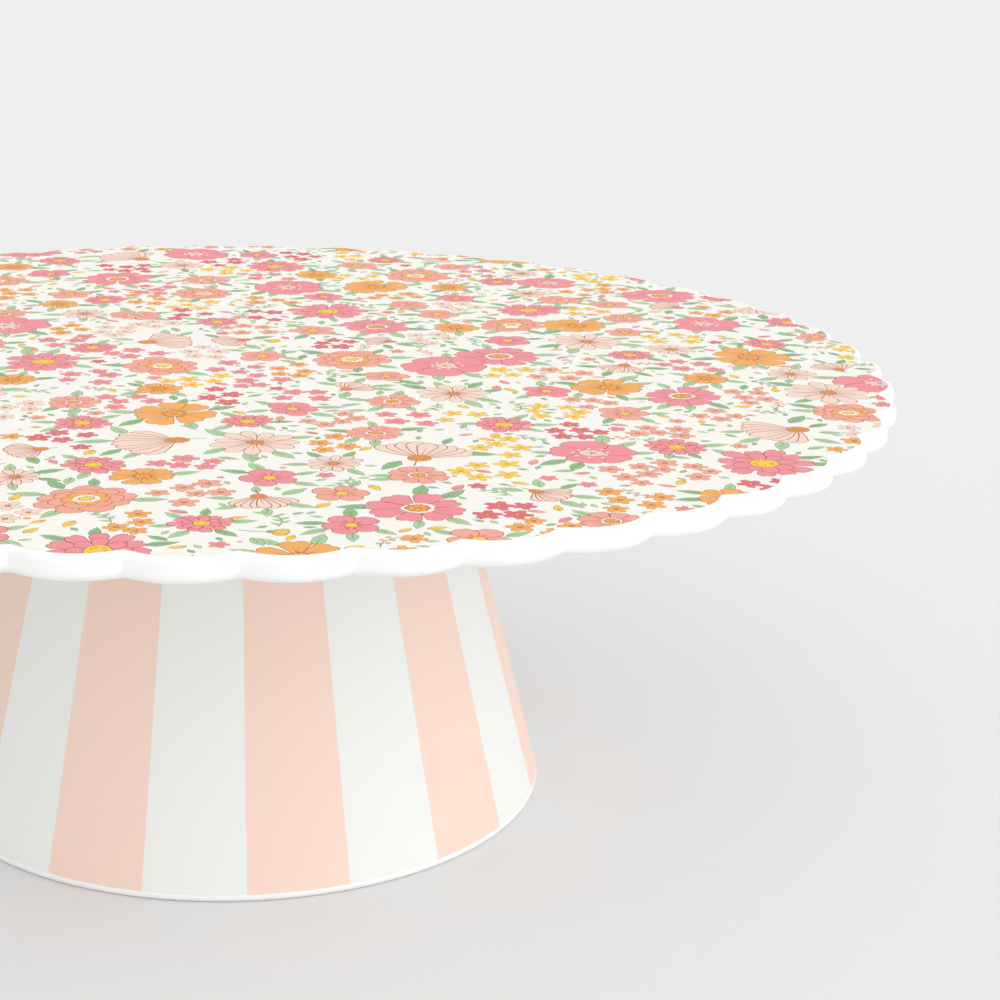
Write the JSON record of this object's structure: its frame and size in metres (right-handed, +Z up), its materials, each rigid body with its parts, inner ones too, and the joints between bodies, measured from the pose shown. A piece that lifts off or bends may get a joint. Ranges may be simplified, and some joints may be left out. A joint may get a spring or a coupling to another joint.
{
  "type": "cake stand",
  "caption": "Round cake stand with a lobed rim and a printed plate on a hollow striped foot, held by a hand screw from below.",
  "frame": {"origin": "on the table, below the middle of the foot", "axes": "+Z up along the axis of the foot, plate and screw; -Y is the front, where a peach stripe starts"},
  "size_m": [0.3044, 0.3044, 0.104],
  "materials": {
    "melamine_white": "satin moulded melamine, soft white",
    "floral_print": "printed foil under a satin melamine glaze",
    "striped_print": "peach and white stripes under a satin melamine glaze",
    "insert_brass": "turned brass",
    "knob_plastic": "fine moulded texture",
    "screw_steel": "zinc plated",
    "washer_rubber": "matte black"
  },
  "bodies": {
    "foot": {"pedestal": "melamine_white", "stripe_foil": "striped_print"},
    "plate": {"plate": "melamine_white", "floral_foil": "floral_print", "threaded_insert": "insert_brass"},
    "washers": {"rubber_washer": "washer_rubber", "steel_washer": "screw_steel"},
    "knob": {"knob_grip": "knob_plastic", "knob_stud": "screw_steel"}
  },
  "joints": [
    {"name": "plate_lift", "type": "slide", "parent": "foot", "child": "plate", "axis": [0, 0, 1], "range_m": [0, 0.05]},
    {"name": "screw_drop", "type": "slide", "parent": "foot", "child": "washers", "axis": [0, 0, -1], "range_m": [0, 0.008]},
    {"name": "knob_turn", "type": "hinge", "parent": "washers", "child": "knob", "pos_m": [0, 0, 0.08], "axis": [0, 0, -1], "range_deg": [0, 2880]}
  ],
  "couplings": [
    {"joint": "screw_drop", "follows": "knob_turn", "m_per_rad": 0.00015915}
  ]
}
